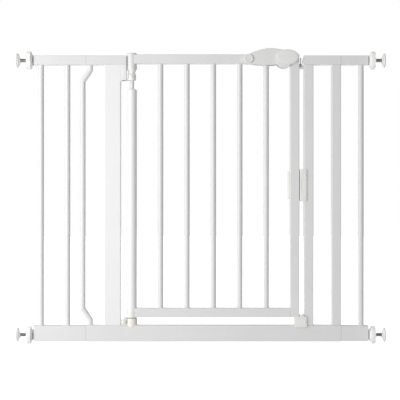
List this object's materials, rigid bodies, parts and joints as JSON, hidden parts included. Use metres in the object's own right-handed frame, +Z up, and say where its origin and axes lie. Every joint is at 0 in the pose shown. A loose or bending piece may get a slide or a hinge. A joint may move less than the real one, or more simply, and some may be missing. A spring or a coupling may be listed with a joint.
{
  "type": "child safety gate",
  "caption": "Pressure-fitted child safety gate: tube frame, door on a rising hinge, lift-to-open handle, side extensions and threaded wall cups with hand wheels.",
  "frame": {"origin": "bottom centre of the gate's bounding box, under the lower hand wheels, midway between the two walls and on the middle plane of the tubes", "axes": "+X across the doorway, from the hinge side to the latch side; +Y away from the viewer, the way the door opens; +Z up"},
  "size_m": [0.993, 0.0484, 0.798],
  "materials": {
    "powder_coat": "semi-gloss white powder coat",
    "white_plastic": "moulded, semi-gloss",
    "warm_plastic": "moulded, satin, slightly warm white",
    "zinc_steel": "dark zinc plate",
    "bright_steel": "zinc plate"
  },
  "bodies": {
    "frame": {"frame_bottom_rail": "powder_coat", "frame_top_rail_left": "powder_coat", "frame_top_rail_right": "powder_coat", "frame_hinge_post": "powder_coat", "frame_latch_post": "powder_coat", "frame_end_post": "powder_coat", "frame_bent_bar": "powder_coat", "left_ext_top_rail": "powder_coat", "left_ext_bottom_rail": "powder_coat", "left_ext_bars": "powder_coat", "right_ext_top_rail": "powder_coat", "right_ext_bottom_rail": "powder_coat", "right_ext_bar": "powder_coat", "extension_joiners": "bright_steel", "rail_end_plugs": "white_plastic", "hinge_upper_bracket": "powder_coat", "hinge_fixed_cam": "white_plastic", "hinge_lower_bracket": "powder_coat", "hinge_lower_socket": "warm_plastic", "top_keeper": "powder_coat", "mid_stop_block": "white_plastic", "bottom_catch": "white_plastic", "frame_screws": "bright_steel"},
    "hinge_spindle": {"hinge_spindle": "powder_coat"},
    "door": {"door_top_knuckle": "powder_coat", "door_cam": "white_plastic", "door_hinge_tube": "powder_coat", "hinge_tube_cap": "powder_coat", "hinge_tube_collar": "white_plastic", "door_top_rail": "powder_coat", "door_bottom_rail": "powder_coat", "door_latch_stile": "powder_coat", "door_bar_1": "powder_coat", "door_bar_2": "powder_coat", "door_bar_3": "powder_coat", "door_bar_4": "powder_coat", "door_bar_5": "powder_coat", "stile_stop_clip": "white_plastic", "lever_pin": "bright_steel", "lever_pin_covers": "white_plastic", "latch_housing_front": "white_plastic", "latch_housing_rear": "white_plastic", "housing_screws": "bright_steel", "latch_spring": "bright_steel"},
    "lift_lever": {"lift_lever": "white_plastic"},
    "thumb_slide": {"thumb_slide": "white_plastic"},
    "latch_bolt": {"latch_bolt": "bright_steel", "lift_rod": "bright_steel"},
    "hand_wheel_top_left": {"hand_wheel_top_left": "white_plastic"},
    "wall_cup_top_left": {"threaded_rod_top_left": "zinc_steel", "wall_cup_top_left": "warm_plastic"},
    "hand_wheel_bottom_left": {"hand_wheel_bottom_left": "white_plastic"},
    "wall_cup_bottom_left": {"threaded_rod_bottom_left": "zinc_steel", "wall_cup_bottom_left": "warm_plastic"},
    "hand_wheel_top_right": {"hand_wheel_top_right": "white_plastic"},
    "wall_cup_top_right": {"threaded_rod_top_right": "zinc_steel", "wall_cup_top_right": "warm_plastic"},
    "hand_wheel_bottom_right": {"hand_wheel_bottom_right": "white_plastic"},
    "wall_cup_bottom_right": {"threaded_rod_bottom_right": "zinc_steel", "wall_cup_bottom_right": "warm_plastic"}
  },
  "joints": [
    {"name": "door_swing", "type": "hinge", "parent": "frame", "child": "hinge_spindle", "pos_m": [-0.18665, 0, 0.4], "axis": [0, 0, 1], "range_deg": [0, 90]},
    {"name": "door_rise", "type": "slide", "parent": "hinge_spindle", "child": "door", "axis": [0, 0, 1], "range_m": [0, 0.0101]},
    {"name": "lever_lift", "type": "hinge", "parent": "door", "child": "lift_lever", "pos_m": [0.12815, 0, 0.7675], "axis": [0, -1, 0], "range_deg": [0, 6], "stiffness_Nm_per_rad": 4, "springref_deg": -5.73},
    {"name": "bolt_lift", "type": "slide", "parent": "door", "child": "latch_bolt", "axis": [0, 0, 1], "range_m": [0, 0.0125], "deforming": ["latch_spring"]},
    {"name": "thumb_pull", "type": "slide", "parent": "lift_lever", "child": "thumb_slide", "axis": [-1, 0, 0], "range_m": [0, 0.008], "stiffness_N_per_m": 200, "springref_m": -0.01},
    {"name": "wheel_turn_top_left", "type": "hinge", "parent": "frame", "child": "hand_wheel_top_left", "pos_m": [-0.46165, 0, 0.7645], "axis": [-1, 0, 0], "range_deg": [-1565, 2885]},
    {"name": "cup_travel_top_left", "type": "slide", "parent": "frame", "child": "wall_cup_top_left", "axis": [-1, 0, 0], "range_m": [-0.013, 0.024]},
    {"name": "wheel_turn_bottom_left", "type": "hinge", "parent": "frame", "child": "hand_wheel_bottom_left", "pos_m": [-0.46165, 0, 0.02425], "axis": [-1, 0, 0], "range_deg": [-1565, 2885]},
    {"name": "cup_travel_bottom_left", "type": "slide", "parent": "frame", "child": "wall_cup_bottom_left", "axis": [-1, 0, 0], "range_m": [-0.013, 0.024]},
    {"name": "wheel_turn_top_right", "type": "hinge", "parent": "frame", "child": "hand_wheel_top_right", "pos_m": [0.46165, 0, 0.7645], "axis": [1, 0, 0], "range_deg": [-1565, 2885]},
    {"name": "cup_travel_top_right", "type": "slide", "parent": "frame", "child": "wall_cup_top_right", "axis": [1, 0, 0], "range_m": [-0.013, 0.024]},
    {"name": "wheel_turn_bottom_right", "type": "hinge", "parent": "frame", "child": "hand_wheel_bottom_right", "pos_m": [0.46165, 0, 0.02425], "axis": [1, 0, 0], "range_deg": [-1565, 2885]},
    {"name": "cup_travel_bottom_right", "type": "slide", "parent": "frame", "child": "wall_cup_bottom_right", "axis": [1, 0, 0], "range_m": [-0.013, 0.024]}
  ],
  "couplings": [
    {"joint": "door_rise", "follows": "door_swing", "m_per_rad": 0.0063},
    {"joint": "lever_lift", "follows": "bolt_lift", "rad_per_m": 8.3195},
    {"joint": "wheel_turn_top_left", "follows": "cup_travel_top_left", "rad_per_m": 2094.4},
    {"joint": "wheel_turn_bottom_left", "follows": "cup_travel_bottom_left", "rad_per_m": 2094.4},
    {"joint": "wheel_turn_top_right", "follows": "cup_travel_top_right", "rad_per_m": 2094.4},
    {"joint": "wheel_turn_bottom_right", "follows": "cup_travel_bottom_right", "rad_per_m": 2094.4}
  ]
}
